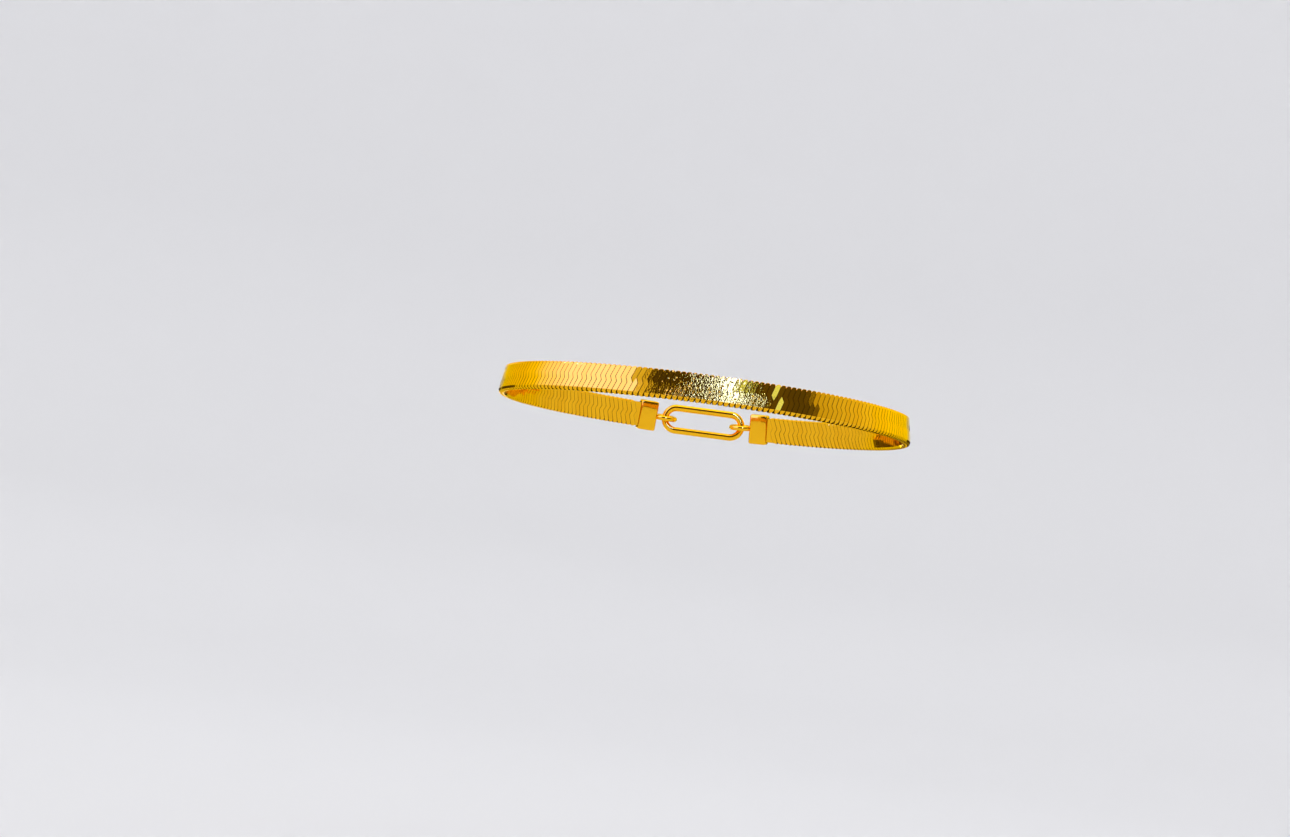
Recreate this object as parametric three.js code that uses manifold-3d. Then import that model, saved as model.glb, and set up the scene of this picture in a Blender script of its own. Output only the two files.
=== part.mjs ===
// A herringbone chain bracelet, closed as it is worn: a flat gold band of Z-shaped links, with a cap
// on each end of the chain and a plain clasp between the caps.
// Millimetres. +Z runs along the wrist, the clasp is at +Y, and the origin is the middle of the loop.
import * as THREE from "three";
import { mergeVertices } from "three/addons/utils/BufferGeometryUtils.js";
import Module from "manifold-3d";

// The loop, measured along the middle of the band
const LOOP_LENGTH = 178;
const LOOP_ROUNDNESS = 0.937; // front to back over side to side
const WALL_LEAN = THREE.MathUtils.degToRad(9.3); // the lower edge flares outwards
const LOOP_STEPS = 4000; // for the distances along the loop

// The band and its links
const BAND_WIDTH = 4.0;
const BAND_THICKNESS = 1.1;
const RIM_ROUND = 0.3; // how far the rounded rim reaches in from each edge
const LINK_COUNT = 205;
const LINK_PITCH = 0.76;
const SEAM_DEPTH = 0.14; // the groove between two links, on both faces and both rims
const SEAM_WIDTH = 0.16;

// The Z of each link: a leg slants from each rim to a knee, and a short jog joins the two knees
const LEG_SLANT = 0.6; // how far a leg runs along the band
const JOG_BACK = 0.3; // how far the jog runs back
const KNEE_HEIGHT = 0.35; // the knees' distance from the middle of the band

// The end caps
const TAIL_LENGTH = 2.0; // plain end of the chain, most of it inside its cap
const TAIL_IN_CAP = 1.2;
const CAP_LENGTH = 2.8;
const CAP_WALL = 0.3;
const CAP_CORNER = 0.35;
const CAP_CORNER_STEPS = 3;
const FIT_GAP = 0.2; // between a chain end and the floor of its cap
const RING_HOLE = 1.1; // radius
const RING_WIRE = 0.8;
const RING_SINK = 0.35; // how far the ring runs into the cap that it is soldered to
const RING_SIDES = 16;

// The clasp, a closed oval that passes through both rings
const CLASP_HEIGHT = 4.6;
const CLASP_BAR = 1.1;
const CLASP_THICKNESS = 1.0;
const CLASP_BEVEL = 0.2;
const CLASP_FLAT = 0.01; // half the short straight left between the arcs of a round end
const CLASP_CORNER_STEPS = 5;

const wasm = await Module();
wasm.setup();

// Every piece is the same polished yellow gold.
function named(name, geometry) {
  const gold = new THREE.MeshStandardMaterial({ color: 0xf2b53a, metalness: 1, roughness: 0.12 });
  const mesh = new THREE.Mesh(geometry, gold);
  mesh.name = name;
  return mesh;
}

// The middle line of the band: an ellipse of the given length, from the clasp round the front to the clasp.
function makeLoop() {
  const ratio = LOOP_ROUNDNESS;
  const unitLength = Math.PI * (3 * (1 + ratio) - Math.sqrt((3 + ratio) * (1 + 3 * ratio)));
  const halfWidth = LOOP_LENGTH / unitLength;
  const back = Math.PI / 2;
  const loop = new THREE.EllipseCurve(0, 0, halfWidth, halfWidth * ratio, back, back + 2 * Math.PI);
  loop.arcLengthDivisions = LOOP_STEPS;
  return loop;
}
const loop = makeLoop();

// The band's frame at a distance along the loop: along the band, up across it, and out through its face.
function bandFrame(along) {
  const u = THREE.MathUtils.euclideanModulo(along / LOOP_LENGTH, 1);
  const point = loop.getPointAt(u);
  const heading = loop.getTangentAt(u);
  const tangent = new THREE.Vector3(heading.x, heading.y, 0);
  const outward = new THREE.Vector3(heading.y, -heading.x, 0);
  const up = new THREE.Vector3(0, 0, 1);
  const lean = new THREE.Quaternion().setFromAxisAngle(tangent, -WALL_LEAN);
  const across = up.clone().applyQuaternion(lean);
  const face = outward.clone().applyQuaternion(lean);
  return { origin: new THREE.Vector3(point.x, point.y, 0), tangent, outward, across, face };
}

function bandPoint(along, height, depth) {
  const frame = bandFrame(along);
  return frame.origin.addScaledVector(frame.across, height).addScaledVector(frame.face, depth);
}

// How far a seam has run along the band at a height: down one leg, back over the jog, down the other leg.
function seamShift(height) {
  const reach = Math.abs(height);
  const side = Math.sign(height);
  if (reach <= KNEE_HEIGHT) return (-side * (JOG_BACK / 2) * reach) / KNEE_HEIGHT;
  const leg = (reach - KNEE_HEIGHT) / (BAND_WIDTH / 2 - KNEE_HEIGHT);
  return side * (LEG_SLANT * leg - JOG_BACK / 2);
}

// The outline of the band, one row for each corner. depthSide and heightSide say which way a groove cuts in.
const SHOULDER = BAND_WIDTH / 2 - RIM_ROUND;
const OUTLINE = [
  { height: SHOULDER, depthSide: 1, heightSide: 0 },
  { height: KNEE_HEIGHT, depthSide: 1, heightSide: 0 },
  { height: -KNEE_HEIGHT, depthSide: 1, heightSide: 0 },
  { height: -SHOULDER, depthSide: 1, heightSide: 0 },
  { height: -BAND_WIDTH / 2, depthSide: 0, heightSide: -1 },
  { height: -SHOULDER, depthSide: -1, heightSide: 0 },
  { height: -KNEE_HEIGHT, depthSide: -1, heightSide: 0 },
  { height: KNEE_HEIGHT, depthSide: -1, heightSide: 0 },
  { height: SHOULDER, depthSide: -1, heightSide: 0 },
  { height: BAND_WIDTH / 2, depthSide: 0, heightSide: 1 },
];

// One closed ring of points round the band. slant is 1 along a seam and 0 where the chain is cut square.
function bandRing(along, cut, slant) {
  return OUTLINE.map(({ height, depthSide, heightSide }) =>
    bandPoint(
      along + slant * seamShift(height),
      height - heightSide * cut,
      depthSide * (BAND_THICKNESS / 2 - cut),
    ),
  );
}

// A closed solid through a row of rings, with a flat fan over each end.
function skinRings(rings) {
  const count = rings[0].length;
  const positions = rings.flat().flatMap((p) => [p.x, p.y, p.z]);
  const index = [];
  for (let r = 0; r + 1 < rings.length; r++) {
    for (let i = 0; i < count; i++) {
      const j = (i + 1) % count;
      const [a, b, c, d] = [r * count + i, r * count + j, (r + 1) * count + j, (r + 1) * count + i];
      index.push(a, b, d, b, c, d);
    }
  }
  const last = (rings.length - 1) * count;
  for (let i = 1; i + 1 < count; i++) {
    index.push(0, i + 1, i);
    index.push(last, last + i, last + i + 1);
  }
  const geometry = new THREE.BufferGeometry();
  geometry.setAttribute("position", new THREE.Float32BufferAttribute(positions, 3));
  geometry.setIndex(index);
  return geometry;
}

const CHAIN_LENGTH = LINK_COUNT * LINK_PITCH;
const CHAIN_START = (LOOP_LENGTH - CHAIN_LENGTH) / 2;
const CHAIN_END = CHAIN_START + CHAIN_LENGTH;

// The chain: each link is flat between two grooves, and the links are joined at the bottom of the grooves.
function makeChain() {
  const rings = [bandRing(CHAIN_START - TAIL_LENGTH, SEAM_DEPTH, 0)];
  for (let link = 0; link < LINK_COUNT; link++) {
    const start = CHAIN_START + link * LINK_PITCH;
    rings.push(bandRing(start, SEAM_DEPTH, 1));
    rings.push(bandRing(start + SEAM_WIDTH / 2, 0, 1));
    rings.push(bandRing(start + LINK_PITCH - SEAM_WIDTH / 2, 0, 1));
  }
  rings.push(bandRing(CHAIN_END, SEAM_DEPTH, 1));
  rings.push(bandRing(CHAIN_END + TAIL_LENGTH, SEAM_DEPTH, 0));
  return skinRings(rings);
}

function toSolid(geometry) {
  const bare = geometry.clone();
  bare.deleteAttribute("normal");
  bare.deleteAttribute("uv");
  const merged = mergeVertices(bare);
  return new wasm.Manifold(
    new wasm.Mesh({
      numProp: 3,
      vertProperties: merged.attributes.position.array,
      triVerts: new Uint32Array(merged.index.array),
    }),
  );
}

function toGeometry(solid) {
  const mesh = solid.getMesh();
  const geometry = new THREE.BufferGeometry();
  geometry.setAttribute("position", new THREE.BufferAttribute(mesh.vertProperties, 3));
  geometry.setIndex(new THREE.BufferAttribute(mesh.triVerts, 1));
  return geometry;
}

// A rectangle about the origin with its corners rounded off.
function roundedRectangle(width, height, radius) {
  const [x, y] = [width / 2, height / 2];
  const shape = new THREE.Shape();
  shape.moveTo(x - radius, -y);
  shape.absarc(x - radius, -y + radius, radius, -Math.PI / 2, 0);
  shape.absarc(x - radius, y - radius, radius, 0, Math.PI / 2);
  shape.absarc(-x + radius, y - radius, radius, Math.PI / 2, Math.PI);
  shape.absarc(-x + radius, -y + radius, radius, Math.PI, 1.5 * Math.PI);
  shape.closePath();
  return shape;
}

// An end cap in its own frame: x runs from its mouth towards the clasp, and z across the band.
const RING_OUTER = RING_HOLE + RING_WIRE;
const RING_CENTRE = CAP_LENGTH - RING_SINK + RING_OUTER;
function makeEndCap() {
  const sleeveShape = roundedRectangle(BAND_WIDTH + 2 * CAP_WALL, BAND_THICKNESS + 2 * CAP_WALL, CAP_CORNER);
  const sleeve = new THREE.ExtrudeGeometry(sleeveShape, {
    depth: CAP_LENGTH,
    bevelEnabled: false,
    curveSegments: CAP_CORNER_STEPS,
  });
  sleeve.rotateY(Math.PI / 2);

  const pocketDepth = TAIL_IN_CAP + FIT_GAP;
  const pocket = new THREE.BoxGeometry(2 * pocketDepth, BAND_THICKNESS, BAND_WIDTH);

  const ringShape = new THREE.Shape().absarc(0, 0, RING_OUTER, 0, 2 * Math.PI);
  ringShape.holes.push(new THREE.Path().absarc(0, 0, RING_HOLE, 0, 2 * Math.PI, true));
  const ring = new THREE.ExtrudeGeometry(ringShape, {
    depth: RING_WIRE,
    bevelEnabled: false,
    curveSegments: RING_SIDES,
  });
  ring.translate(RING_CENTRE, 0, -RING_WIRE / 2);

  return toGeometry(toSolid(sleeve).subtract(toSolid(pocket)).add(toSolid(ring)));
}

// The cap sits square on the chain's end, turned to the band's frame there.
function placeEndCap(mesh, mouth, towardsClasp) {
  const frame = bandFrame(mouth);
  const x = frame.tangent.multiplyScalar(towardsClasp);
  const y = frame.face.multiplyScalar(towardsClasp);
  mesh.quaternion.setFromRotationMatrix(new THREE.Matrix4().makeBasis(x, y.negate(), frame.across));
  mesh.position.copy(frame.origin);
}

// The clasp in its own frame: an oval bar in the plane of x and z, thin along y.
function makeClasp(ringSpacing) {
  const outer = roundedRectangle(ringSpacing + CLASP_BAR, CLASP_HEIGHT, CLASP_HEIGHT / 2 - CLASP_FLAT);
  const window = roundedRectangle(
    ringSpacing - CLASP_BAR,
    CLASP_HEIGHT - 2 * CLASP_BAR,
    CLASP_HEIGHT / 2 - CLASP_BAR - CLASP_FLAT,
  );
  outer.holes.push(new THREE.Path(window.getPoints(CLASP_CORNER_STEPS).reverse()));
  const geometry = new THREE.ExtrudeGeometry(outer, {
    depth: CLASP_THICKNESS - 2 * CLASP_BEVEL,
    bevelThickness: CLASP_BEVEL,
    bevelSize: CLASP_BEVEL,
    bevelOffset: -CLASP_BEVEL,
    bevelSegments: 1,
    curveSegments: CLASP_CORNER_STEPS,
  });
  geometry.translate(0, 0, CLASP_BEVEL - CLASP_THICKNESS / 2);
  return geometry.rotateX(Math.PI / 2);
}

const bracelet = new THREE.Group();
bracelet.add(named("herringbone_chain", makeChain()));

const mouthInset = TAIL_LENGTH - TAIL_IN_CAP;
const ends = [
  { name: "end_cap_left", mouth: CHAIN_START - mouthInset, towardsClasp: -1 },
  { name: "end_cap_right", mouth: CHAIN_END + mouthInset, towardsClasp: 1 },
];
const ringCentres = ends.map(({ name, mouth, towardsClasp }) => {
  const cap = named(name, makeEndCap());
  placeEndCap(cap, mouth, towardsClasp);
  bracelet.add(cap);
  return cap.localToWorld(new THREE.Vector3(RING_CENTRE, 0, 0));
});

const clasp = named("clasp", makeClasp(ringCentres[0].distanceTo(ringCentres[1])));
clasp.position.copy(ringCentres[0]).lerp(ringCentres[1], 0.5);
bracelet.add(clasp);

export default bracelet;
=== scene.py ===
# A flat herringbone chain bracelet in polished yellow gold plate, closed as it is worn.
import math

import bmesh
import bpy
import numpy as np
from mathutils import Matrix, Quaternion, Vector


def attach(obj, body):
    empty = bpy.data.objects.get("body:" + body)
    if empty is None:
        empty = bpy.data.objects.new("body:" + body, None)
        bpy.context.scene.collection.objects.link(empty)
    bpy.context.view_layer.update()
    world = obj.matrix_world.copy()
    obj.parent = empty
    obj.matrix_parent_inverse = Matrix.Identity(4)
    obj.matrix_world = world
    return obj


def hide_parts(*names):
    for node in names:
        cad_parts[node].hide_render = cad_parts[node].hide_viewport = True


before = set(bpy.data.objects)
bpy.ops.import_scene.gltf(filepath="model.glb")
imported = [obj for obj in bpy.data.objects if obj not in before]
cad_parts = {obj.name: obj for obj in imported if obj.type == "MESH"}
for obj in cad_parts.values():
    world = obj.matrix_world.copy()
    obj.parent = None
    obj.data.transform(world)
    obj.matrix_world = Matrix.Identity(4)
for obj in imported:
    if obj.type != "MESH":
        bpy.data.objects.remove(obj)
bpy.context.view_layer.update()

# HERRINGBONE CHAIN
# Some two hundred Z-shaped links of gold-plated brass wire are laced into each other, rolled flat and
# polished, and lie side by side as one supple band. A fine groove is left at every seam, and each link ends
# in a rounded tip, so both rims of the band are scalloped.
mm = 0.001  # in metres, for the finished meshes: the pieces are shaped in millimetres
loop_length = 178.0
loop_roundness = 0.937  # front to back over side to side
loop_steps = 40000
wall_lean = math.radians(9.3)  # the lower edge flares outwards
band_width = 4.0
band_thickness = 1.1
link_count = 205
link_pitch = 0.76
link_lap = 0.02  # how far neighbours run into each other
leg_slant = 0.6  # how far a leg runs along the band
jog_back = 0.3  # how far the jog between the knees runs back
knee_height = 0.35
tip_corner = 0.37  # radius of the round end that a tip is narrowed to
tip_row_shares = (1.0, 0.45)  # how far below the rim a tip is cut for its curve, in tip corners
top_edge = 0.09  # bevel of the upper tips
foot_round = 0.45  # rounding of the lower tips
seam_chamfer = 0.048

ratio = loop_roundness
half_width = loop_length / (math.pi * (3 * (1 + ratio) - math.sqrt((3 + ratio) * (1 + 3 * ratio))))
turn = np.linspace(0.5 * math.pi, 2.5 * math.pi, loop_steps + 1)
route = np.stack([half_width * np.cos(turn), half_width * ratio * np.sin(turn)], 1)
walked = np.concatenate([[0], np.cumsum(np.linalg.norm(np.diff(route, axis=0), axis=1))])
walked *= loop_length / walked[-1]


def band_frame(along):
    """The band at distances along the loop from the clasp: its middle, and its lines ahead, out and up."""
    t = np.interp(np.atleast_1d(along) % loop_length, walked, turn)
    flat = np.zeros_like(t)
    middle = np.stack([half_width * np.cos(t), half_width * ratio * np.sin(t), flat], 1)
    heading = np.stack([-half_width * np.sin(t), half_width * ratio * np.cos(t), flat], 1)
    heading /= np.linalg.norm(heading, axis=1, keepdims=True)
    outward = np.stack([heading[:, 1], -heading[:, 0], flat], 1)
    up = np.stack([flat, flat, flat + 1], 1)
    face = math.cos(wall_lean) * outward + math.sin(wall_lean) * up
    across = math.cos(wall_lean) * up - math.sin(wall_lean) * outward
    return middle, heading, face, across


def seam_shift(height):
    """How far along the band a seam has run at a height: down a leg, back over the jog, down a leg."""
    reach, side = np.abs(height), np.sign(height)
    leg = (reach - knee_height) / (band_width / 2 - knee_height)
    on_leg = leg_slant * leg - jog_back / 2
    on_jog = -jog_back / 2 * reach / knee_height
    return side * np.where(reach <= knee_height, on_jog, on_leg)


def pick(obj, kind, wanted):
    """Selects the vertices, edges or faces of the mesh in edit mode that wanted accepts."""
    bpy.ops.mesh.select_mode(type=kind)
    bpy.ops.mesh.select_all(action="DESELECT")
    shape = bmesh.from_edit_mesh(obj.data)
    for part in {"VERT": shape.verts, "EDGE": shape.edges, "FACE": shape.faces}[kind]:
        if wanted(part):
            part.select_set(True)
    shape.select_flush_mode()
    bmesh.update_edit_mesh(obj.data)


# One link starts as a straight bar, cut across at its knees and in the curve of its upper tip.
bpy.ops.object.select_all(action="DESELECT")
bpy.ops.mesh.primitive_cube_add(size=1)
link = bpy.context.object
link.scale = (link_pitch + link_lap, band_thickness, band_width)
bpy.ops.object.transform_apply(location=False, rotation=False, scale=True)
bpy.ops.object.mode_set(mode="EDIT")
tip_rows = [band_width / 2 - share * tip_corner for share in tip_row_shares]
for row in (-knee_height, knee_height, *tip_rows):
    bpy.ops.mesh.select_all(action="SELECT")
    bpy.ops.mesh.bisect(plane_co=(0, 0, row), plane_no=(0, 0, 1))

# The upper tips keep a crisp edge, and the lower ones are rounded over from face to face.
at_the_end = 0.49 * band_width
for end, tip_round, steps in ((1, top_edge, 1), (-1, foot_round, 2)):
    pick(link, "EDGE", lambda e: all(end * v.co.z > at_the_end for v in e.verts)
         and abs(e.verts[0].co.x - e.verts[1].co.x) > link_pitch / 2)
    bpy.ops.mesh.bevel(offset=tip_round, segments=steps, affect="EDGES")

# The long edges get the chamfer that leaves a groove at each seam.
pick(link, "FACE", lambda f: abs(f.normal.x) > 0.9)
bpy.ops.mesh.region_to_loop()
bpy.ops.mesh.bevel(offset=seam_chamfer, segments=1, affect="EDGES")

# The tips are also narrowed to a round end, and the straight bar is drawn out to its Z.
heights = sorted({round(v.co.z, 4) for v in bmesh.from_edit_mesh(link.data).verts})
for height in heights:
    pick(link, "VERT", lambda v: abs(v.co.z - height) < 1e-3)
    into_tip = max(0, abs(height) - (band_width / 2 - tip_corner))
    narrowed = tip_corner - math.sqrt(max(0, tip_corner ** 2 - into_tip ** 2))
    bpy.ops.transform.resize(value=(1 - narrowed / (link_pitch / 2), 1, 1))
    bpy.ops.transform.translate(value=(float(seam_shift(height)), 0, 0))
bpy.ops.mesh.select_all(action="SELECT")
bpy.ops.mesh.normals_make_consistent(inside=False)
bpy.ops.object.mode_set(mode="OBJECT")

# The small faces of the lower half, which are its tip and its chamfers, are shaded round. The walls and
# chamfers of a seam are groove as far up as the upper tip.
largest_round_face = 0.2
steepest_bright_face = 0.35
link_points = np.array([v.co for v in link.data.vertices])
from_middle = link_points[:, 0] - seam_shift(link_points[:, 2])
link_faces = [list(p.vertices) for p in link.data.polygons]
link_round = [p.area < largest_round_face and p.center.z < 0 for p in link.data.polygons]
link_groove = [abs(p.normal.x) > steepest_bright_face and p.center.z < tip_rows[0]
               for p in link.data.polygons]
bpy.data.objects.remove(link)

# Lacing turns the upper and lower halves of a link a little apart, and no two links lie quite alike. Two
# neighbours near the front have been knocked askew, one at its upper half and one at its lower.
lacing_turn = 0.75  # degrees
uneven_set = 0.3  # degrees
upper, lower = 0, 1
askew_halves = [
    # link, half, degrees
    (114, upper, 8.75),
    (115, lower, 10.25),
]
rng = np.random.default_rng(29)
sway = np.radians([-lacing_turn, lacing_turn] + rng.normal(0, uneven_set, (link_count, 2)))
nod = np.radians(rng.normal(0, uneven_set, (link_count, 2)))
for number, askew_half, angle in askew_halves:
    sway[number, askew_half] = math.radians(angle)

chain_start = (loop_length - link_count * link_pitch) / 2
middle, heading, face, across = band_frame(chain_start + (np.arange(link_count) + 0.5) * link_pitch)
half = np.where(link_points[:, 2] < 0, lower, upper)
beside = np.abs(link_points[:, 2]) - band_width / 4
points, faces, rounded = [], [], []
for k in range(link_count):
    depth = link_points[:, 1] + from_middle * sway[k][half] + beside * nod[k][half]
    placed = middle[k] + link_points[:, :1] * heading[k]
    placed = placed + depth[:, None] * face[k] + link_points[:, 2:] * across[k]
    points.append(placed)
    faces += [[k * len(link_points) + i for i in f] for f in link_faces]
    rounded += link_round

# The last turns of wire at each end run on into the end cap as a plain tongue.
tongue_length = 2.0
tongue_lap = 0.5  # how far it starts inside the last link
tongue_thickness = 0.82
tongue_width = 3.72
tongue_corners = [(d * tongue_thickness / 2, h * tongue_width / 2)
                  for d, h in ((-1, -1), (1, -1), (1, 1), (-1, 1))]
for mouth, inside in ((chain_start, -1), (loop_length - chain_start, 1)):
    first = sum(len(p) for p in points)
    ends = [mouth - tongue_lap * inside, mouth + tongue_length * inside]
    middle, heading, face, across = band_frame(ends)
    for end in (0, 1):
        points.append(np.array([middle[end] + d * face[end] + h * across[end] for d, h in tongue_corners]))
    near = [first, first + 1, first + 2, first + 3]
    far = [first + 4, first + 5, first + 6, first + 7]
    sides = [[near[i], far[i], far[(i + 1) % 4], near[(i + 1) % 4]] for i in range(4)]
    tongue_faces = [near, far[::-1], *sides]
    faces += tongue_faces if inside < 0 else [f[::-1] for f in tongue_faces]
    rounded += [False] * len(tongue_faces)

chain_points = np.concatenate(points) * mm
chain_mesh = bpy.data.meshes.new("chain_links")
chain_mesh.from_pydata(chain_points, [], faces)
chain_mesh.polygons.foreach_set("use_smooth", rounded)

# The mesh carries what the finish needs: which faces are groove, each link's own shade of gold, and how
# deeply the points are scuffed. The tongues are plain.
scuffs = [
    # middle link, links to each side, depth on the upper halves, depth on the lower halves
    (100, 5.0, 0.85, 1.5),
    (110.5, 2.3, 0.25, 1.5),
]
plain_faces = len(faces) - link_count * len(link_faces)
plain_points = len(chain_points) - link_count * len(link_points)
groove = np.concatenate([np.tile(link_groove, link_count), np.zeros(plain_faces)])
chain_mesh.attributes.new("groove", "FLOAT", "FACE").data.foreach_set("value", groove)
temper = np.concatenate([np.repeat(rng.random(link_count), len(link_points)), np.full(plain_points, 0.5)])
chain_mesh.attributes.new("temper", "FLOAT", "POINT").data.foreach_set("value", temper)
scuff = np.zeros((link_count, len(link_points)))
for scuff_middle, scuff_reach, upper_depth, lower_depth in scuffs:
    along_chain = np.exp(-((np.arange(link_count) - scuff_middle) / scuff_reach) ** 2)
    scuff += np.outer(along_chain, np.where(half == lower, lower_depth, upper_depth))
scuff = np.concatenate([scuff.ravel(), np.zeros(plain_points)])
chain_mesh.attributes.new("scuff", "FLOAT", "POINT").data.foreach_set("value", scuff)
chain_mesh.update()
chain = bpy.data.objects.new("chain_links", chain_mesh)
bpy.context.collection.objects.link(chain)


def linear(hex_colour):
    """An sRGB hex colour as linear RGBA."""
    channels = [int(hex_colour[i:i + 2], 16) / 255 for i in (1, 3, 5)]
    return [c / 12.92 if c <= 0.04045 else ((c + 0.055) / 1.055) ** 2.4 for c in channels] + [1]


def add_node(tree, kind, inputs=None, **settings):
    """Adds a node, sets its properties, and sets or links its inputs."""
    node = tree.nodes.new(kind)
    for name, value in settings.items():
        setattr(node, name, value)
    for name, value in (inputs or {}).items():
        if isinstance(value, bpy.types.NodeSocket):
            tree.links.new(value, node.inputs[name])
        else:
            node.inputs[name].default_value = value
    return node


# Polished gold plate over brass: a saturated yellow mirror. Its faces are a little uneven from rolling, and
# scuffs at the front break a light up into sparks. The grooves are dull, and their dark brown is partly
# polishing residue and partly painted shade in the seams.
dent_size = 0.25 * mm
dent_depth = 0.09 * mm
pit_spacing = 0.5 * mm
pit_depth = 0.04 * mm
wear_size = 0.12 * mm
gold = bpy.data.materials.new("polished_gold_plate")
gold.use_nodes = True
tree = gold.node_tree
shader = tree.nodes["Principled BSDF"]
shader.inputs["Metallic"].default_value = 1.0
shader.inputs["Specular Tint"].default_value = linear("#FFF473")
place = add_node(tree, "ShaderNodeTexCoord").outputs["Object"]
scuffed = add_node(tree, "ShaderNodeAttribute", attribute_name="scuff").outputs["Fac"]
in_groove = add_node(tree, "ShaderNodeAttribute", attribute_name="groove").outputs["Fac"]
per_link = add_node(tree, "ShaderNodeAttribute", attribute_name="temper").outputs["Fac"]

# Dents, faint from rolling and deep where the front has been scuffed.
ripple = add_node(tree, "ShaderNodeTexNoise", {
    "Vector": place, "Scale": 1 / dent_size, "Detail": 1.5, "Roughness": 0.6})
dent = add_node(tree, "ShaderNodeMapRange", {"Value": scuffed, "To Min": 0.02, "To Max": 1.0})
dented = add_node(tree, "ShaderNodeBump", {
    "Height": ripple.outputs["Fac"], "Strength": dent.outputs["Result"], "Distance": dent_depth})

# Steep little pits in the same stretch, each of which catches a spark of its own.
spot = add_node(tree, "ShaderNodeTexVoronoi", {"Vector": place, "Scale": 1 / pit_spacing})
pit = add_node(tree, "ShaderNodeMapRange", {"Value": spot.outputs["Distance"], "From Max": 0.3},
               interpolation_type="SMOOTHSTEP")
pits = add_node(tree, "ShaderNodeMapRange", {"Value": scuffed, "From Min": 0.05, "From Max": 0.3})
pitted = add_node(tree, "ShaderNodeBump", {
    "Height": pit.outputs["Result"], "Strength": pits.outputs["Result"], "Distance": pit_depth,
    "Normal": dented.outputs["Normal"]})
tree.links.new(pitted.outputs["Normal"], shader.inputs["Normal"])

# Fine wear dulls the polish unevenly. It is drawn coarser than polishing marks are, so that it shows.
wear = add_node(tree, "ShaderNodeTexNoise", {"Vector": place, "Scale": 1 / wear_size, "Detail": 3.0})
dull = add_node(tree, "ShaderNodeMapRange", {
    "Value": wear.outputs["Fac"], "From Min": 0.3, "From Max": 0.75, "To Min": 0.04, "To Max": 0.12})
roughness = add_node(tree, "ShaderNodeMix", {
    "Factor": in_groove, "A": dull.outputs["Result"], "B": 0.5}, data_type="FLOAT")
tree.links.new(roughness.outputs["Result"], shader.inputs["Roughness"])
plate = add_node(tree, "ShaderNodeMix", {
    "Factor": per_link, "A": linear("#FFBF21"), "B": linear("#FBB81C")}, data_type="RGBA")
# The groove faces take a dark brown that is partly polishing residue and partly painted shade in the seams.
colour = add_node(tree, "ShaderNodeMix", {
    "Factor": in_groove, "A": plate.outputs["Result"], "B": linear("#4A2400")}, data_type="RGBA")
tree.links.new(colour.outputs["Result"], shader.inputs["Base Color"])
chain.data.materials.append(gold)
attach(chain, "root")
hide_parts("herringbone_chain")

# END CAPS
# A small sheet-metal sleeve is closed over each end of the chain, with a wire ring soldered to it for the
# clasp. Both are plated and polished like the chain.
cap_length = 2.8
cap_wall = 0.3
cap_edge = 0.28
mouth_lip = 0.05
pocket_depth = 1.4
tail_outside = 0.8
ring_hole = 1.1
ring_wire = 0.8
ring_sink = 0.35  # how far the ring runs into the cap
ring_sides = 40
ring_wire_sides = 14
ring_centre = cap_length - ring_sink + ring_hole + ring_wire
ring_places = []
for name, mouth, clasp_way in (("left", chain_start - tail_outside, -1),
                               ("right", loop_length - chain_start + tail_outside, 1)):
    bpy.ops.object.select_all(action="DESELECT")
    bpy.ops.mesh.primitive_cube_add(size=1, location=(cap_length / 2, 0, 0))
    cap = bpy.context.object
    cap.name = f"{name}_cap"
    cap.scale = (cap_length, band_thickness + 2 * cap_wall, band_width + 2 * cap_wall)
    bpy.ops.object.transform_apply(location=True, rotation=False, scale=True)
    bpy.ops.object.mode_set(mode="EDIT")
    bpy.ops.mesh.select_all(action="SELECT")
    bpy.ops.mesh.bevel(offset=cap_edge, segments=3, affect="EDGES")
    pick(cap, "FACE", lambda f: f.normal.x < -0.99)
    bpy.ops.mesh.inset(thickness=mouth_lip)
    bpy.ops.mesh.extrude_region_move(TRANSFORM_OT_translate={"value": (pocket_depth, 0, 0)})
    bpy.ops.object.mode_set(mode="OBJECT")
    bpy.ops.object.shade_smooth_by_angle(angle=math.radians(50))
    bpy.ops.object.select_all(action="DESELECT")
    bpy.ops.mesh.primitive_torus_add(major_radius=ring_hole + ring_wire / 2, minor_radius=ring_wire / 2,
                                     major_segments=ring_sides, minor_segments=ring_wire_sides,
                                     location=(ring_centre, 0, 0))
    bpy.ops.object.transform_apply(location=True, rotation=False, scale=False)
    bpy.ops.object.shade_smooth()
    cap.select_set(True)
    bpy.context.view_layer.objects.active = cap
    bpy.ops.object.join()
    middle, heading, face, across = (Vector(line[0]) for line in band_frame(mouth))
    seat = Matrix((heading * clasp_way, -face * clasp_way, across)).transposed().to_4x4()
    seat.translation = middle
    ring_places.append(seat @ Vector((ring_centre, 0, 0)))
    cap.data.transform(Matrix.Scale(mm, 4) @ seat)
    cap.data.materials.append(gold)
    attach(cap, "root")
    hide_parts(f"end_cap_{name}")

# CLASP
# One plain closed oval of round brass wire, plated and polished like the chain. It passes through the rings
# of both end caps and so closes the loop.
clasp_height = 4.6
clasp_wire = 1.05
clasp_sides = 42
clasp_wire_sides = 16
spacing = (ring_places[1] - ring_places[0]).length
stretch = (spacing - (clasp_height - clasp_wire)) / 2
bpy.ops.object.select_all(action="DESELECT")
bpy.ops.mesh.primitive_torus_add(major_radius=(clasp_height - clasp_wire) / 2, minor_radius=clasp_wire / 2,
                                 major_segments=clasp_sides, minor_segments=clasp_wire_sides)
clasp = bpy.context.object
clasp.name = "oval_clasp"
bpy.ops.object.mode_set(mode="EDIT")
for way in (-1, 1):
    pick(clasp, "VERT", lambda v: v.co.x * way > 0)
    bpy.ops.transform.translate(value=(way * stretch, 0, 0))
bpy.ops.object.mode_set(mode="OBJECT")
bpy.ops.object.shade_smooth()
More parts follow.
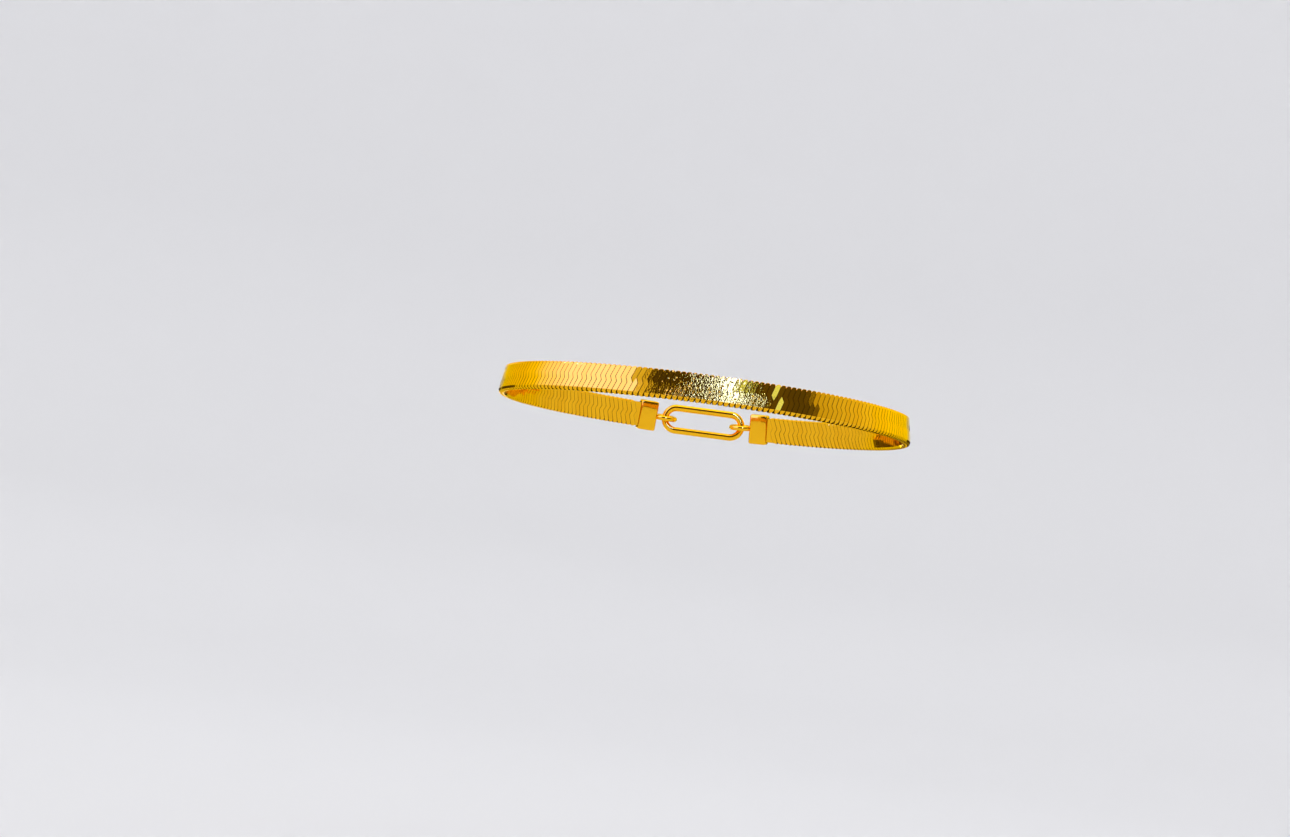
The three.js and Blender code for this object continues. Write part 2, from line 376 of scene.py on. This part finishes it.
seat = Matrix.Rotation(math.pi / 2, 4, "X")
seat.translation = (ring_places[0] + ring_places[1]) / 2
clasp.data.transform(Matrix.Scale(mm, 4) @ seat)
clasp.data.materials.append(gold)
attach(clasp, "root")
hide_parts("clasp")

# FLOOR AND BACKDROP
# Matt white paper lies flat below the bracelet, which is held up, and sweeps up all round without a line.
# From here on, sizes are in metres.
floor_drop = 0.07
floor_radius = 0.42
floor_sides = 96
sweep = [
    # radius, rise from the row before
    (0.52, 0.012),
    (0.60, 0.05),
    (0.65, 0.12),
    (0.67, 0.22),
    (0.68, 0.55),
]
bpy.ops.object.select_all(action="DESELECT")
bpy.ops.mesh.primitive_circle_add(vertices=floor_sides, radius=floor_radius, fill_type="NGON",
                                  location=(0, 0, -floor_drop))
floor = bpy.context.object
floor.name = "pale_floor"
bpy.ops.object.transform_apply(location=True, rotation=False, scale=False)
bpy.ops.object.mode_set(mode="EDIT")
pick(floor, "EDGE", lambda e: True)
radius = floor_radius
for wider, rise in sweep:
    bpy.ops.mesh.extrude_edges_move(TRANSFORM_OT_translate={"value": (0, 0, rise)})
    bpy.ops.transform.resize(value=(wider / radius, wider / radius, 1))
    radius = wider
bpy.ops.object.mode_set(mode="OBJECT")
bpy.ops.object.shade_smooth()
paper = bpy.data.materials.new("matt_white_paper")
paper.use_nodes = True
paper_shader = paper.node_tree.nodes["Principled BSDF"]
paper_shader.inputs["Base Color"].default_value = linear("#E6E6E8")
paper_shader.inputs["Roughness"].default_value = 0.9
paper_shader.inputs["Specular IOR Level"].default_value = 0.0
floor.data.materials.append(paper)

# LIGHT
# Soft white light comes from all round. Cards hang about the bracelet for its polished faces to mirror:
# dark ones in front with a narrow softbox before them, a bright panel on the left, pale walls at the sides,
# and low dark ones behind and at both ends.
world = bpy.data.worlds.new("soft_studio")
bpy.context.scene.world = world
world.use_nodes = True
world.node_tree.nodes["Background"].inputs["Color"].default_value = linear("#FFFFFF")
world.node_tree.nodes["Background"].inputs["Strength"].default_value = 1.55


def studio_point(azimuth, elevation, distance):
    """A point seen from the middle of the bracelet. Azimuth 0 is in front, and grows to the right."""
    a, e = math.radians(azimuth), math.radians(elevation)
    return Vector((math.sin(a) * math.cos(e), -math.cos(a) * math.cos(e), math.sin(e))) * distance


# Each card is a patch of a sphere round the bracelet, which only polished faces show. Its glow runs from
# one colour and strength at the first azimuth to another at the last.
card_columns = 24
card_rows = 6
cards = [
    # name, azimuths, elevations, distance, first glow, last glow, unevenness
    ("black_card", (-31, 28), (-6, 54), 0.55, ("#FFF0C0", 0.08), ("#FFF0C0", 0.035), 0.5),
    ("brown_card", (28, 60), (-6, 54), 0.55, ("#FFF0C0", 0.10), ("#FFF0C0", 0.12), 0.4),
    ("softbox", (9.5, 13.5), (8, 46), 0.49, ("#2A3BFF", 215), ("#2A3BFF", 215), 0),
    ("softbox_rim", (17, 22), (8, 46), 0.50, ("#6C87FF", 5.3), ("#6C87FF", 5.3), 0),
    ("left_panel", (-78, -39), (0, 60), 0.50, ("#5759FF", 15), ("#5759FF", 15), 0),
    ("left_wall", (-120, -78), (0, 60), 0.50, ("#FFF8E8", 0.88), ("#5759FF", 15), 0),
    ("left_back_wall", (-155, -120), (0, 60), 0.50, ("#FFF8E8", 0.85), ("#FFF8E8", 0.88), 0),
    ("right_wall", (60, 120), (0, 60), 0.55, ("#FFF8B0", 0.59), ("#FFFFE8", 1.05), 0),
    ("right_back_wall", (120, 155), (0, 60), 0.55, ("#FFFFE8", 1.05), ("#FFF8E8", 0.95), 0),
    ("low_back_card", (150, 235), (-7, 4.5), 0.50, ("#FFE4B8", 0.05), ("#FFE4B8", 0.10), 0.4),
    ("low_back_softbox", (186, 192), (-7, 4.5), 0.48, ("#FFFFFF", 3), ("#FFFFFF", 3), 0),
    ("low_right_card", (74, 104), (-5, 4.5), 0.48, ("#FFE4B8", 0.10), ("#FFE4B8", 0.06), 0.4),
    ("low_left_card", (-106, -76), (-5, 4.5), 0.48, ("#FFE4B8", 0.06), ("#FFE4B8", 0.10), 0.4),
]
for name, azimuths, elevations, distance, first_glow, last_glow, unevenness in cards:
    columns = np.linspace(*azimuths, card_columns)
    rows = np.linspace(*elevations, card_rows)
    card_points = [studio_point(a, e, distance) for e in rows for a in columns]
    corners = [r * card_columns + c for r in range(card_rows - 1) for c in range(card_columns - 1)]
    card_faces = [[i, i + 1, i + card_columns + 1, i + card_columns] for i in corners]
    card_mesh = bpy.data.meshes.new(name)
    card_mesh.from_pydata(card_points, [], card_faces)
    first, last = (np.array(linear(colour)) * strength for colour, strength in (first_glow, last_glow))
    glows = np.tile(np.linspace(first, last, card_columns), (card_rows, 1))
    glows *= rng.uniform(1 - unevenness, 1 + unevenness, (len(glows), 1))
    card_mesh.attributes.new("glow", "FLOAT_COLOR", "POINT").data.foreach_set("color", glows.ravel())
    card = bpy.data.objects.new(name, card_mesh)
    bpy.context.collection.objects.link(card)
    cloth = bpy.data.materials.new(name)
    cloth.use_nodes = True
    tree = cloth.node_tree
    tree.nodes.remove(tree.nodes["Principled BSDF"])
    graded = add_node(tree, "ShaderNodeAttribute", attribute_name="glow").outputs["Color"]
    glow = add_node(tree, "ShaderNodeEmission", {"Color": graded})
    tree.links.new(glow.outputs["Emission"], tree.nodes["Material Output"].inputs["Surface"])
    card.data.materials.append(cloth)
    card.visible_camera = False
    card.visible_diffuse = False
    card.visible_shadow = False

# CAMERA
# A little below the band's plane and tipped to one side, as the bracelet is seen in the photograph. The
# frame, the focal length and the place of the loop's middle are in the photograph's pixels.
frame_width, frame_height = 1290, 837
focal = 2408
middle_seen_at = (705.1, 407.5)
sensor_width = 36
camera_distance = 0.35
camera_elevation = -5.07
camera_roll = math.radians(7.46)
camera_data = bpy.data.cameras.new("camera")
camera = bpy.data.objects.new("camera", camera_data)
bpy.context.collection.objects.link(camera)
bpy.context.scene.camera = camera
camera_data.sensor_width = sensor_width
camera_data.lens = sensor_width * focal / frame_width
camera_data.clip_start = 0.01
back = studio_point(0, camera_elevation, 1)
camera.location = back * camera_distance
sight = Vector((middle_seen_at[0] - frame_width / 2, frame_height / 2 - middle_seen_at[1], -focal))
level = (-back).to_track_quat("-Z", "Y")
roll = Quaternion((0, 0, 1), camera_roll)
aim = sight.rotation_difference(Vector((0, 0, -1)))
camera.rotation_mode = "QUATERNION"
camera.rotation_quaternion = level @ roll @ aim
bpy.context.scene.view_settings.view_transform = "Standard"
